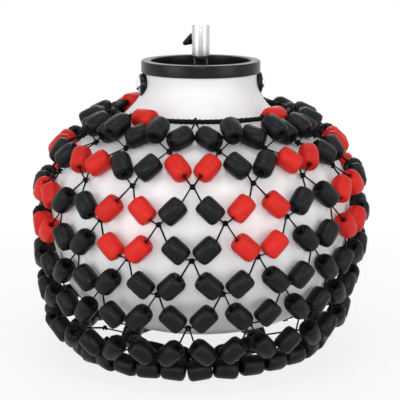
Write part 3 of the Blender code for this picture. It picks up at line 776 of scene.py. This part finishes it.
class Net:
    """Places of the net's knots and beads."""

    def __init__(self):
        self.meridian, self.rows = net_meridian()
        self.slides = random.Random(SLIDE_SEED)
        self.skews = random.Random(SKEW_SEED)
        self.base_level = self.meridian.points[-1].y - BEAD_LIFT
        bay = BEAD_LENGTH + 2 * BASE_TIE_RADIUS + 2 * SEAT_GAP
        self.base_radius = COLUMNS * bay / (2 * math.pi)

    def point(self, station, azimuth, lift):
        point, normal = self.meridian.at(station)
        raised = point + normal * lift
        return swayed(polar(azimuth, raised.x, raised.y))

    def down(self, station, azimuth):
        """Direction down the gourd at a station."""
        normal = self.meridian.at(station)[1]
        return polar(azimuth, normal.y, -normal.x)

    def knot(self, column, side, row, half_width=KNOT_RADIUS + SEAT_GAP / 2):
        """Station and azimuth of one leg's half of a knot."""
        azimuth = FIRST_AZIMUTH + column * COLUMN_STEP
        station = self.rows[row]
        half_gap = half_width / self.meridian.radius(station, KNOT_LIFT)
        if row % 2:
            azimuth += side * (COLUMN_STEP / 2 - half_gap)
        else:
            azimuth += side * half_gap
        return station + slip(row, azimuth), azimuth

    def bead(self, column, side, row):
        """Centre and axis, pointing down the leg, of the bead above a knot."""
        if row == 1:
            return self.first_bead(column, side)
        if row == ROWS:
            return self.last_bead(column, side)
        upper_station, upper_azimuth = self.knot(column, side, row - 1)
        station, azimuth = self.knot(column, side, row)
        down = station - upper_station
        turn = upper_azimuth - azimuth
        sideways = abs(turn) * self.meridian.radius(station - down / 2, BEAD_LIFT)
        angle = math.atan2(sideways, down) + BEAD_SAG
        corner = (BEAD_RADIUS - BEAD_EDGE) * math.cos(angle) + BEAD_EDGE + SEAT_GAP / 2
        touch = (BEAD_LENGTH / 2 - BEAD_EDGE) * math.sin(angle) + corner - KNOT_RADIUS
        room = max(sideways - 2 * touch, 0.0)
        out = min(touch, sideways / 2) + room * self.slides.uniform(0, BEAD_SLIDE)
        centre_azimuth = azimuth + turn * out / sideways
        centre_station = station - out / math.tan(angle)
        axis = self.down(centre_station, centre_azimuth) * math.cos(angle)
        axis -= across(centre_azimuth) * math.copysign(math.sin(angle), turn)
        return self.point(centre_station, centre_azimuth, BEAD_LIFT + lift_room(row)), axis

    def first_bead(self, column, side):
        """At the front low beads lie askew under high ones. Elsewhere every other bead is raised."""
        azimuth = FIRST_AZIMUTH + column * COLUMN_STEP
        away = min(column, COLUMNS - column)
        if 0 < away <= CROWDED_COLUMNS and faces_front(column, side):
            azimuth += side * HIGH_BEAD_TURN
            station = self.rows[0] + HIGH_BEAD_DROP
            return self.point(station, azimuth, BEAD_LIFT + HIGH_BEAD_LIFT), self.down(station, azimuth)
        if away >= CROWDED_COLUMNS:
            azimuth += side * COLUMN_STEP / 4
            station = self.rows[0] + FLAT_BEAD_DROP
            lift = FLAT_BEAD_LIFT if faces_front(column, side) else 0.0
            return self.point(station, azimuth, BEAD_LIFT + lift), self.down(station, azimuth)
        azimuth += side * LOW_BEAD_TURN
        station = self.rows[0] + LOW_BEAD_DROP
        axis = self.down(station, azimuth) * math.cos(LOW_BEAD_TILT)
        axis += across(azimuth) * side * math.sin(LOW_BEAD_TILT)
        return self.point(station, azimuth, BEAD_LIFT), axis

    def last_bead(self, column, side):
        """The last row turns under the gourd, its beads lying nearly end to end round it."""
        azimuth = FIRST_AZIMUTH + (column + side / 4) * COLUMN_STEP
        station = self.rows[ROWS - 1] + LAST_BEAD_DROP + slip(ROWS, azimuth)
        down = self.down(station, azimuth)
        out = down.cross(across(azimuth))
        axis = across(azimuth) * -side
        axis += down * self.skews.uniform(-LAST_BEAD_SKEW, LAST_BEAD_SKEW)
        axis += out * self.skews.uniform(-LAST_BEAD_SKEW, LAST_BEAD_SKEW)
        return self.point(station, azimuth, BEAD_LIFT), axis.normalized()

    def loop(self, column):
        """Points of a cord's turn round the collar cord, from its left leg to its right leg."""
        azimuth = FIRST_AZIMUTH + column * COLUMN_STEP
        centre = self.point(self.rows[0], azimuth, BEAD_LIFT)
        down = self.down(self.rows[0], azimuth)
        out = down.cross(across(azimuth))
        reach = COLLAR_CORD_RADIUS + CORD_RADIUS
        points = []
        for i in range(LOOP_STEPS + 1):
            angle = 2 * math.pi * i / LOOP_STEPS
            shift = across(azimuth) * LOOP_HALF_WIDTH * (2 * i / LOOP_STEPS - 1)
            points.append(centre + shift + (down * math.cos(angle) + out * math.sin(angle)) * reach)
        return points

    def base_tie(self, column):
        """Where a cord's tail is tied to the base cord."""
        azimuth = FIRST_AZIMUTH + column * COLUMN_STEP
        reach = math.hypot(self.base_radius, BEAD_LENGTH / 2)
        return swayed(polar(azimuth, reach, self.base_level))


# Gourd, rim and grommet


def add_shell():
    """The moulded gourd, white outside and bare inside."""
    outer = gourd_outline(OUTLINE_STEPS) + base_outline(BASE_STEPS)
    inner = inset_outline(outer, SHELL_WALL)
    shell = turned("gourd_body", outer + inner[::-1] + outer[:1], GOURD_SIDES)
    fitted(shell, SHELL_WHITE, "shell", "gourd_shell")
    shell.data.materials.append(SHELL_INSIDE)
    middle = Vector((0, 0, -BELLY_DROP))
    for face in shell.data.polygons:
        if face.normal.dot(face.center - middle) < 0:
            face.material_index = 1


def add_rim():
    """The trim's channel section, pushed over the lip."""
    outer = NECK_RADIUS + SEAT_GAP + RIM_OUTER_LEG
    inner = NECK_BORE - SEAT_GAP - RIM_INNER_LEG
    outline = [
        (outer, -RIM_HEIGHT, RIM_OUTER_FOOT_ROUNDING),
        (outer, 0, RIM_ROUNDING),
        (inner, 0, RIM_ROUNDING),
        (inner, -RIM_HEIGHT, RIM_INNER_FOOT_ROUNDING),
        (NECK_BORE - SEAT_GAP, -RIM_HEIGHT),
        (NECK_BORE - SEAT_GAP, -RIM_TOP),
        (NECK_RADIUS + SEAT_GAP, -RIM_TOP),
        (NECK_RADIUS + SEAT_GAP, -RIM_HEIGHT),
    ]
    rim = turned("rim_trim", eased(outline), GOURD_SIDES)
    fitted(rim, RUBBER, "shell", "neck_rim")


def add_grommet():
    """Two flanges and a waist in the rod hole."""
    seat = base_outline(1)[-1].y
    outside = seat - SEAT_GAP
    inside = seat + SHELL_WALL + SEAT_GAP
    outline = [
        (GROMMET_BORE, inside + GROMMET_FLANGE_HEIGHT, GROMMET_ROUNDING),
        (GROMMET_FLANGE, inside + GROMMET_FLANGE_HEIGHT, GROMMET_ROUNDING),
        (GROMMET_FLANGE, inside),
        (GROMMET_WAIST, inside),
        (GROMMET_WAIST, outside),
        (GROMMET_FLANGE, outside),
        (GROMMET_FLANGE, outside - GROMMET_FLANGE_HEIGHT, GROMMET_ROUNDING),
        (GROMMET_BORE, outside - GROMMET_FLANGE_HEIGHT, GROMMET_ROUNDING),
    ]
    grommet = turned("grommet", eased(outline), GROMMET_SIDES)
    fitted(grommet, RUBBER, "shell", "rod_grommet")


# Clutch and wing screw

# Lays a piece that was made along Z along X
ALONG_X = Matrix.Rotation(math.pi / 2, 4, "Y")


def screw_line():
    """Puts a piece that lies along X on the wing screw's axis."""
    turn = Matrix.Rotation(SCREW_AZIMUTH - math.pi / 2, 4, "Z")
    return Matrix.Translation((0, 0, SCREW_HEIGHT)) @ turn


def threads(radius, top, bottom):
    """Outline of a screw thread's ridges down a stem, as rings."""
    points = []
    for i in range(int((top - bottom) / THREAD_PITCH)):
        height = top - i * THREAD_PITCH
        points.append((radius - THREAD_DEPTH, height))
        points.append((radius, height - THREAD_PITCH / 2))
    return points + [(radius - THREAD_DEPTH, bottom)]


def add_clutch_barrel():
    """A bored barrel on a threaded stem, with a hole in its side for the wing screw."""
    outline = [
        (ROD_BORE, STEM_END),
        (ROD_BORE, BARREL_TOP, ROD_BORE_ROUNDING),
        (BARREL_RADIUS, BARREL_TOP, BARREL_ROUNDING),
        (BARREL_RADIUS, BARREL_BASE, BARREL_ROUNDING),
        (STEM_RADIUS - THREAD_DEPTH, BARREL_BASE),
    ]
    outline += threads(STEM_RADIUS, BARREL_BASE - THREAD_PITCH, STEM_END)
    barrel = turned("clutch_barrel", eased(outline), BARREL_SIDES)
    hole = begin(
        "screw_hole",
        bpy.ops.mesh.primitive_cylinder_add,
        vertices=SCREW_HOLE_SIDES,
        radius=SCREW_RADIUS + SEAT_GAP,
        depth=BARREL_RADIUS,
    )
    hole.data.transform(screw_line() @ Matrix.Translation((BARREL_RADIUS, 0, 0)) @ ALONG_X)
    cut(barrel, hole)
    fitted(barrel, SATIN, "shell", "clutch_tube")
    # The stem's faces below the barrel get the painted dark reflection of the gourd's inside.
    barrel.data.materials.append(STEM_PAINTED_REFLECTION)
    for face in barrel.data.polygons:
        if face.center.z < BARREL_BASE + STEM_PAINTED_REFLECTION_MARGIN:
            face.material_index = 1


def add_felt_washer(level, bottom):
    outline = [
        (NUT_BORE, bottom),
        (NUT_BORE, bottom + CLUTCH_WASHER_HEIGHT),
        (CLUTCH_WASHER_RADIUS, bottom + CLUTCH_WASHER_HEIGHT, CLUTCH_WASHER_ROUNDING),
        (CLUTCH_WASHER_RADIUS, bottom, CLUTCH_WASHER_ROUNDING),
    ]
    felt = turned("felt_washer_" + level, eased(outline), CLUTCH_WASHER_SIDES)
    fitted(felt, FELT, "shell", "clutch_washer_" + level)


def add_knurled_nut(level, bottom):
    """A round nut with every other corner of its rim drawn in."""
    outline = [
        (NUT_BORE, bottom),
        (NUT_BORE, bottom + CLUTCH_NUT_HEIGHT),
        (CLUTCH_NUT_RADIUS, bottom + CLUTCH_NUT_HEIGHT, CLUTCH_NUT_ROUNDING),
        (CLUTCH_NUT_RADIUS, bottom, CLUTCH_NUT_ROUNDING),
    ]
    nut = turned("knurled_nut_" + level, eased(outline), KNURL_SIDES)
    for vertex in nut.data.vertices:
        tooth = round(math.atan2(vertex.co.y, vertex.co.x) / (2 * math.pi) * KNURL_SIDES)
        on_rim = vertex.co.xy.length > CLUTCH_NUT_RADIUS - KNURL_MARGIN
        vertex.select = on_rim and tooth % 2 == 1
    for face in nut.data.polygons:
        face.select = False
    for edge in nut.data.edges:
        edge.select = False
    only(nut)
    bpy.ops.object.mode_set(mode="EDIT")
    share = 1 - KNURL_DEPTH / CLUTCH_NUT_RADIUS
    bpy.ops.transform.resize(value=(share, share, 1), center_override=(0, 0, bottom))
    bpy.ops.object.mode_set(mode="OBJECT")
    fitted(nut, ZINC, "shell", "clutch_nut_" + level, smooth=SHARP_KNURL_EDGE)


def add_clutch():
    add_clutch_barrel()
    for level, washer, nut in (("upper", UPPER_WASHER, UPPER_NUT), ("lower", LOWER_WASHER, LOWER_NUT)):
        add_felt_washer(level, washer)
        add_knurled_nut(level, nut)


def wing_ears():
    """Two ears in one bar, tapered and thinned towards their tips."""
    ears = begin("wing_clamp_screw", bpy.ops.mesh.primitive_cube_add, size=1)
    ears.data.transform(Matrix.Diagonal((WING_EAR_DEPTH, 2 * WING_HALF_SPAN, 2 * WING_ROOT, 1)))
    bpy.ops.object.mode_set(mode="EDIT")
    bpy.ops.mesh.select_all(action="SELECT")
    bpy.ops.mesh.subdivide(number_cuts=1)
    bpy.ops.object.mode_set(mode="OBJECT")
    for vertex in ears.data.vertices:
        share = abs(vertex.co.y) / WING_HALF_SPAN
        vertex.co.z *= 1 - share * (1 - WING_TIP / WING_ROOT)
        vertex.co.x *= 1 - share * WING_EAR_THINNING
    bevelled(ears, WING_ROUNDING, segments=3)
    middle = Matrix.Translation((WING_BACK + WING_DEPTH / 2, 0, 0))
    ears.data.transform(middle @ Matrix.Rotation(-WING_TURN, 4, "X"))
    return ears


def wing_shank():
    """The wing's hub and its threaded shank, which ends just short of the rod."""
    face = WING_BACK + WING_DEPTH
    end = ROD_BORE + SEAT_GAP
    outline = [
        (0, face),
        (HUB_FACE_RADIUS, face),
        (HUB_RADIUS, face - HUB_FACE_ROUNDING),
        (HUB_RADIUS, WING_BACK + HUB_BACK_ROUNDING),
        (HUB_BACK_RADIUS, WING_BACK),
    ]
    outline += threads(SCREW_RADIUS, WING_BACK, end)
    outline += [(0, end)]
    shank = turned("wing_shank", outline, SCREW_SIDES)
    shank.data.transform(ALONG_X)
    return shank


def add_wing_screw():
    """A cast wing on a threaded shank."""
    wing = joined("wing_clamp_screw", [wing_ears(), wing_shank()])
    wing.data.transform(screw_line())
    # The wing's chrome is painted nearly black, a painted reflection of the dark rim and inside.
    fitted(wing, WING_PAINTED_REFLECTION, "wing", "wing_screw")


# Bolts through the neck


def bolt_line(turn):
    """Puts a piece that was made along Z on the bolts' axis, outwards on one side of the neck."""
    line = Matrix.Translation((0, 0, -BOLT_DROP)) @ Matrix.Rotation(BOLT_LINE_TURN + turn, 4, "Z")
    return line @ ALONG_X


def add_pad(side, line):
    """A rubber pad under a bolt's head, hollowed to the neck's curve."""
    outline = [
        (BOLT_RADIUS + SEAT_GAP, PAD_FACE),
        (PAD_RADIUS, PAD_FACE, PAD_ROUNDING),
        (PAD_RADIUS, NECK_BORE),
        (BOLT_RADIUS + SEAT_GAP, NECK_BORE),
    ]
    pad = turned("rubber_pad_" + side, eased(outline), PAD_SIDES)
    pad.data.transform(line)
    neck = inset_outline(gourd_outline(OUTLINE_STEPS), -SEAT_GAP)
    cut(pad, turned("neck_form", [(0, neck[0].y), *neck, (0, neck[-1].y)], NECK_FORM_SIDES))
    fitted(pad, RUBBER, "shell", "bolt_pad_" + side)


def add_bolt(side, line):
    """A bolt with a domed head, threaded inside the neck."""
    seat = PAD_FACE + SEAT_GAP
    end = BOLT_NUT_END - BOLT_TAIL
    outline = []
    for i in range(DOME_STEPS + 1):
        angle = math.pi / 2 * i / DOME_STEPS
        outline.append((BOLT_HEAD_RADIUS * math.sin(angle), seat + BOLT_HEAD_HEIGHT * math.cos(angle)))
    outline += [(BOLT_RADIUS, seat), (BOLT_RADIUS, NECK_BORE)]
    outline += threads(BOLT_RADIUS, NECK_BORE, end)
    outline += [(0, end)]
    bolt = turned("domed_bolt_" + side, outline, BOLT_SIDES)
    bolt.data.transform(line)
    fitted(bolt, CHROME, "shell", "bolt_" + side)


def add_bolt_nut(side, line):
    """A hexagon nut inside the strap's tab."""
    nut = begin(
        "hex_nut_" + side,
        bpy.ops.mesh.primitive_cylinder_add,
        vertices=6,
        radius=BOLT_NUT_RADIUS,
        depth=BOLT_NUT_HEIGHT,
    )
    bevelled(nut, BOLT_NUT_CHAMFER)
    bore = begin(
        "nut_bore",
        bpy.ops.mesh.primitive_cylinder_add,
        vertices=BOLT_NUT_BORE_SIDES,
        radius=BOLT_RADIUS + SEAT_GAP,
        depth=2 * BOLT_NUT_HEIGHT,
    )
    cut(nut, bore)
    nut.data.transform(line @ Matrix.Translation((0, 0, BOLT_NUT_END + BOLT_NUT_HEIGHT / 2)))
    fitted(nut, ZINC, "shell", "bolt_nut_" + side)


def add_neck_bolts():
    for side, turn in (("right", 0.0), ("left", math.pi)):
        line = bolt_line(turn)
        add_pad(side, line)
        add_bolt(side, line)
        add_bolt_nut(side, line)


# Beads and cords


def bead_master():
    """A crowned barrel bead with rounded ends and a hole right through.

    It is a little larger than its solid, because rounder ends look smaller.
    """
    half = BEAD_LENGTH / 2 + BEAD_STRETCH
    belly = BEAD_RADIUS + BEAD_GROWTH
    end = [(BEAD_HOLE, half - BEAD_HOLE_DIMPLE)]
    end += [(belly - inset, half - back) for inset, back in BEAD_END_RINGS]
    outline = end + [(belly, 0)] + [(radius, -height) for radius, height in reversed(end)]
    return turned("bead", outline + outline[:1], BEAD_SIDES)


def knot_master():
    """Two turns of cord drawn tight, tilted against each other."""
    turns = []
    for way in (-1, 1):
        turn = begin(
            "knot_turn",
            bpy.ops.mesh.primitive_torus_add,
            major_segments=KNOT_TURN_SIDES,
            minor_segments=KNOT_STRAND_SIDES,
            major_radius=KNOT_TURN_RADIUS,
            minor_radius=KNOT_STRAND_RADIUS,
        )
        tilted = Matrix.Rotation(-way * KNOT_TURN_TILT, 4, "X")
        turn.data.transform(Matrix.Translation((0, 0, way * KNOT_TURN_RISE)) @ tilted)
        turns.append(turn)
    return joined("knot", turns)


def upright(centre, axis, spin=0.0):
    """Puts a piece's Z on an axis through a centre."""
    turn = axis.to_track_quat("Z", "Y").to_matrix().to_4x4()
    return Matrix.Translation(centre) @ turn @ Matrix.Rotation(spin, 4, "Z")


def strung(master, centre, axis, chance):
    """A copy of the bead on a cord, with its own tone and turn."""
    bead = copied(master, upright(centre, axis, chance.uniform(0, math.pi)))
    tone = bead.data.attributes.new("bead_tone", "FLOAT", "FACE")
    value = chance.uniform(*BEAD_TONES)
    tone.data.foreach_set("value", [value] * len(bead.data.polygons))
    return bead


def add_collar(net, bead, chance):
    """Three strands laid into a rope, and the beads threaded on it."""
    ring = net.point(net.rows[0], 0, BEAD_LIFT)
    radius = ring.xy.length
    steps = COLLAR_LAYS * COLLAR_STEPS_PER_LAY
    offset = COLLAR_CORD_RADIUS - COLLAR_STRAND_RADIUS
    strands = []
    for strand in range(COLLAR_STRANDS):
        points = []
        for i in range(steps):
            azimuth = 2 * math.pi * i / steps
            twist = COLLAR_LAYS * azimuth + 2 * math.pi * strand / COLLAR_STRANDS
            points.append(
                polar(azimuth, radius + offset * math.cos(twist), ring.z + offset * math.sin(twist))
            )
        strands.append(tube("collar_strand", points, COLLAR_STRAND_RADIUS, cyclic=True))
    rope = joined("collar_rope", strands)
    fitted(rope, CORD, "collar", "collar_cord", smooth=SHARP_NET_EDGE)
    for number, bay in enumerate(COLLAR_BEAD_BAYS, 1):
        azimuth = FIRST_AZIMUTH + (bay + 0.5) * COLUMN_STEP
        threaded = strung(bead, polar(azimuth, radius, ring.z), across(azimuth), chance)
        threaded.name = "collar_bead_red_%d" % number
        body = "bead_%d" % number
        fitted(threaded, BEAD_RED, body, "collar_" + body, smooth=SHARP_NET_EDGE)


def add_net_cord(net, column, bead, knot, chance):
    """One cord folded over the collar, with its knots and the beads on its two legs."""
    number = "%02d" % (column + 1)
    node = "beaded_cord_" + number
    beads = {True: [], False: []}
    legs = []
    for side in (-1, 1):
        leg = []
        for row in range(1, ROWS + 1):
            centre, axis = net.bead(column, side, row)
            beads[is_red(column, row)].append(strung(bead, centre, axis, chance))
            leg.append(centre - axis * BEAD_LENGTH / 2)
            leg.append(centre + axis * BEAD_LENGTH / 2)
            leg.append(net.point(*net.knot(column, side, row, CORD_RADIUS), KNOT_LIFT + lift_room(row)))
        legs.append(leg)
    route = legs[0][::-1] + net.loop(column) + legs[1] + [net.base_tie(column)]
    cords = [tube("net_line", route, CORD_RADIUS)]
    for row in range(1, ROWS + 1):
        station, azimuth = net.knot(column, 1, row, 0.0)
        place = net.point(station, azimuth, KNOT_LIFT + lift_room(row))
        cords.append(copied(knot, upright(place, net.down(station, azimuth))))
    cord = joined("net_cord_" + number, cords)
    fitted(cord, CORD, "net", node, smooth=SHARP_NET_EDGE)
    for red, name, material in ((False, "black", BEAD_BLACK), (True, "red", BEAD_RED)):
        group = joined("net_beads_%s_%s" % (name, number), beads[red])
        fitted(group, material, "net", node, smooth=SHARP_NET_EDGE)


def add_base(net, bead, knot, chance):
    """The draw cord under the gourd, its beads and the ties between them."""
    beads = []
    route = []
    ties = []
    for bay in range(COLUMNS):
        azimuth = FIRST_AZIMUTH + (bay + 0.5) * COLUMN_STEP
        centre = swayed(polar(azimuth, net.base_radius, net.base_level))
        beads.append(strung(bead, centre, across(azimuth), chance))
        route.append(centre - across(azimuth) * BEAD_LENGTH / 2)
        route.append(centre + across(azimuth) * BEAD_LENGTH / 2)
        ties.append(copied(knot, upright(net.base_tie(bay), across(azimuth - COLUMN_STEP / 2))))
    ring = tube("base_line", route, BASE_CORD_RADIUS, cyclic=True)
    cord = joined("base_draw_cord", [ring] + ties)
    fitted(cord, CORD, "net", "base_cord", smooth=SHARP_NET_EDGE)
    group = joined("base_beads", beads)
    fitted(group, BEAD_BLACK, "net", "base_cord", smooth=SHARP_NET_EDGE)


def add_net():
    net = Net()
    bead = bead_master()
    knot = knot_master()
    chance = random.Random(BEAD_SEED)
    add_collar(net, bead, chance)
    for column in range(COLUMNS):
        add_net_cord(net, column, bead, knot, chance)
    add_base(net, bead, knot, chance)
    bpy.data.objects.remove(bead)
    bpy.data.objects.remove(knot)


# Strap, whose own solid is shown


def plate_strap():
    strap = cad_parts["mounting_bracket"]
    strap.data.materials.clear()
    strap.data.materials.append(ZINC)


# Studio


def seen_background(tree):
    """1 for the rays that show the background: from the camera, and sent on by gloss and glass."""
    path = add_node(tree, "ShaderNodeLightPath")
    mirrored = add_node(
        tree,
        "ShaderNodeMath",
        [("operation", "MAXIMUM")],
        [(0, path.outputs["Is Glossy Ray"]), (1, path.outputs["Is Transmission Ray"])],
    )
    return add_node(
        tree,
        "ShaderNodeMath",
        [("operation", "MAXIMUM")],
        [(0, path.outputs["Is Camera Ray"]), (1, mirrored.outputs[0])],
    ).outputs[0]


def add_world():
    """A dim white fill, which shows as plain white where the background is seen."""
    world = bpy.data.worlds.new("studio")
    bpy.context.scene.world = world
    world.use_nodes = True
    tree = world.node_tree
    fill = tree.nodes["Background"]
    fill.inputs["Color"].default_value = linear("#FFFFFF")
    fill.inputs["Strength"].default_value = FILL_STRENGTH
    shown = add_node(tree, "ShaderNodeBackground", [("Color", linear("#FFFFFF")), ("Strength", 1.0)])
    both = add_node(
        tree,
        "ShaderNodeMixShader",
        links=[(0, seen_background(tree)), (1, fill.outputs[0]), (2, shown.outputs[0])],
    )
    tree.links.new(both.outputs[0], tree.nodes["World Output"].inputs["Surface"])


def add_floor():
    """A white paper floor that fades to plain white away from the object's shadow."""
    floor = begin(
        "floor", bpy.ops.mesh.primitive_plane_add, size=FLOOR_SIZE, location=(0, 0, cad_low.z - FLOOR_GAP)
    )
    material = bpy.data.materials.new("white paper floor")
    material.use_nodes = True
    tree = material.node_tree
    paper = tree.nodes["Principled BSDF"]
    paper.inputs["Base Color"].default_value = linear("#F4F4F4")
    paper.inputs["Roughness"].default_value = 0.9
    glow = add_node(tree, "ShaderNodeEmission", [("Color", linear("#FFFFFF")), ("Strength", 1.0)])
    place = add_node(tree, "ShaderNodeTexCoord").outputs["Object"]
    distance = add_node(tree, "ShaderNodeVectorMath", [("operation", "LENGTH")], [(0, place)])
    fade = add_node(
        tree,
        "ShaderNodeMapRange",
        [("From Min", SHADOW_FADE_START), ("From Max", SHADOW_FADE_END), ("To Min", SHADOW_WHITE)],
        [("Value", distance.outputs["Value"])],
    )
    share = add_node(
        tree,
        "ShaderNodeMath",
        [("operation", "MULTIPLY")],
        [(0, seen_background(tree)), (1, fade.outputs["Result"])],
    )
    both = add_node(
        tree,
        "ShaderNodeMixShader",
        links=[(0, share.outputs[0]), (1, paper.outputs[0]), (2, glow.outputs[0])],
    )
    tree.links.new(both.outputs[0], tree.nodes["Material Output"].inputs["Surface"])
    floor.data.materials.append(material)


def add_flag():
    """A pale grey cloth behind the camera, out of its sight, which black pieces mirror at the front."""
    flag = begin("flag", bpy.ops.mesh.primitive_plane_add, size=1)
    flag.data.transform(Matrix.Diagonal((*FLAG_SIZE, 1, 1)))
    flag.data.transform(Matrix.Translation(FLAG_PLACE) @ Matrix.Rotation(math.pi / 2, 4, "X"))
    material = bpy.data.materials.new("grey cloth")
    material.use_nodes = True
    cloth = material.node_tree.nodes["Principled BSDF"]
    cloth.inputs["Base Color"].default_value = linear("#E0E0E0")
    cloth.inputs["Roughness"].default_value = 1.0
    flag.data.materials.append(material)
    flag.visible_camera = False


def add_softbox(name, place, size, power):
    lamp = bpy.data.lights.new(name, "AREA")
    lamp.shape = "RECTANGLE"
    lamp.size, lamp.size_y = size
    lamp.energy = power
    holder = bpy.data.objects.new(name, lamp)
    bpy.context.collection.objects.link(holder)
    holder.location = place
    holder.rotation_euler = (AIM - Vector(place)).to_track_quat("-Z", "Y").to_euler()


def add_camera():
    camera = bpy.data.cameras.new("camera")
    camera.lens = CAMERA_LENS
    camera.sensor_width = CAMERA_SENSOR
    holder = bpy.data.objects.new("camera", camera)
    bpy.context.collection.objects.link(holder)
    back = Vector((0, -math.cos(CAMERA_PITCH), math.sin(CAMERA_PITCH)))
    holder.location = AIM + back * CAMERA_DISTANCE
    holder.rotation_euler = (math.pi / 2 - CAMERA_PITCH, 0, 0)
    bpy.context.scene.camera = holder


def add_studio():
    bpy.context.scene.view_settings.view_transform = "Standard"
    add_world()
    add_floor()
    add_flag()
    for name, (place, size, power) in SOFTBOXES.items():
        add_softbox(name, place, size, power)
    add_camera()


add_studio()
add_shell()
add_rim()
add_grommet()
add_clutch()
add_wing_screw()
add_neck_bolts()
add_net()
plate_strap()
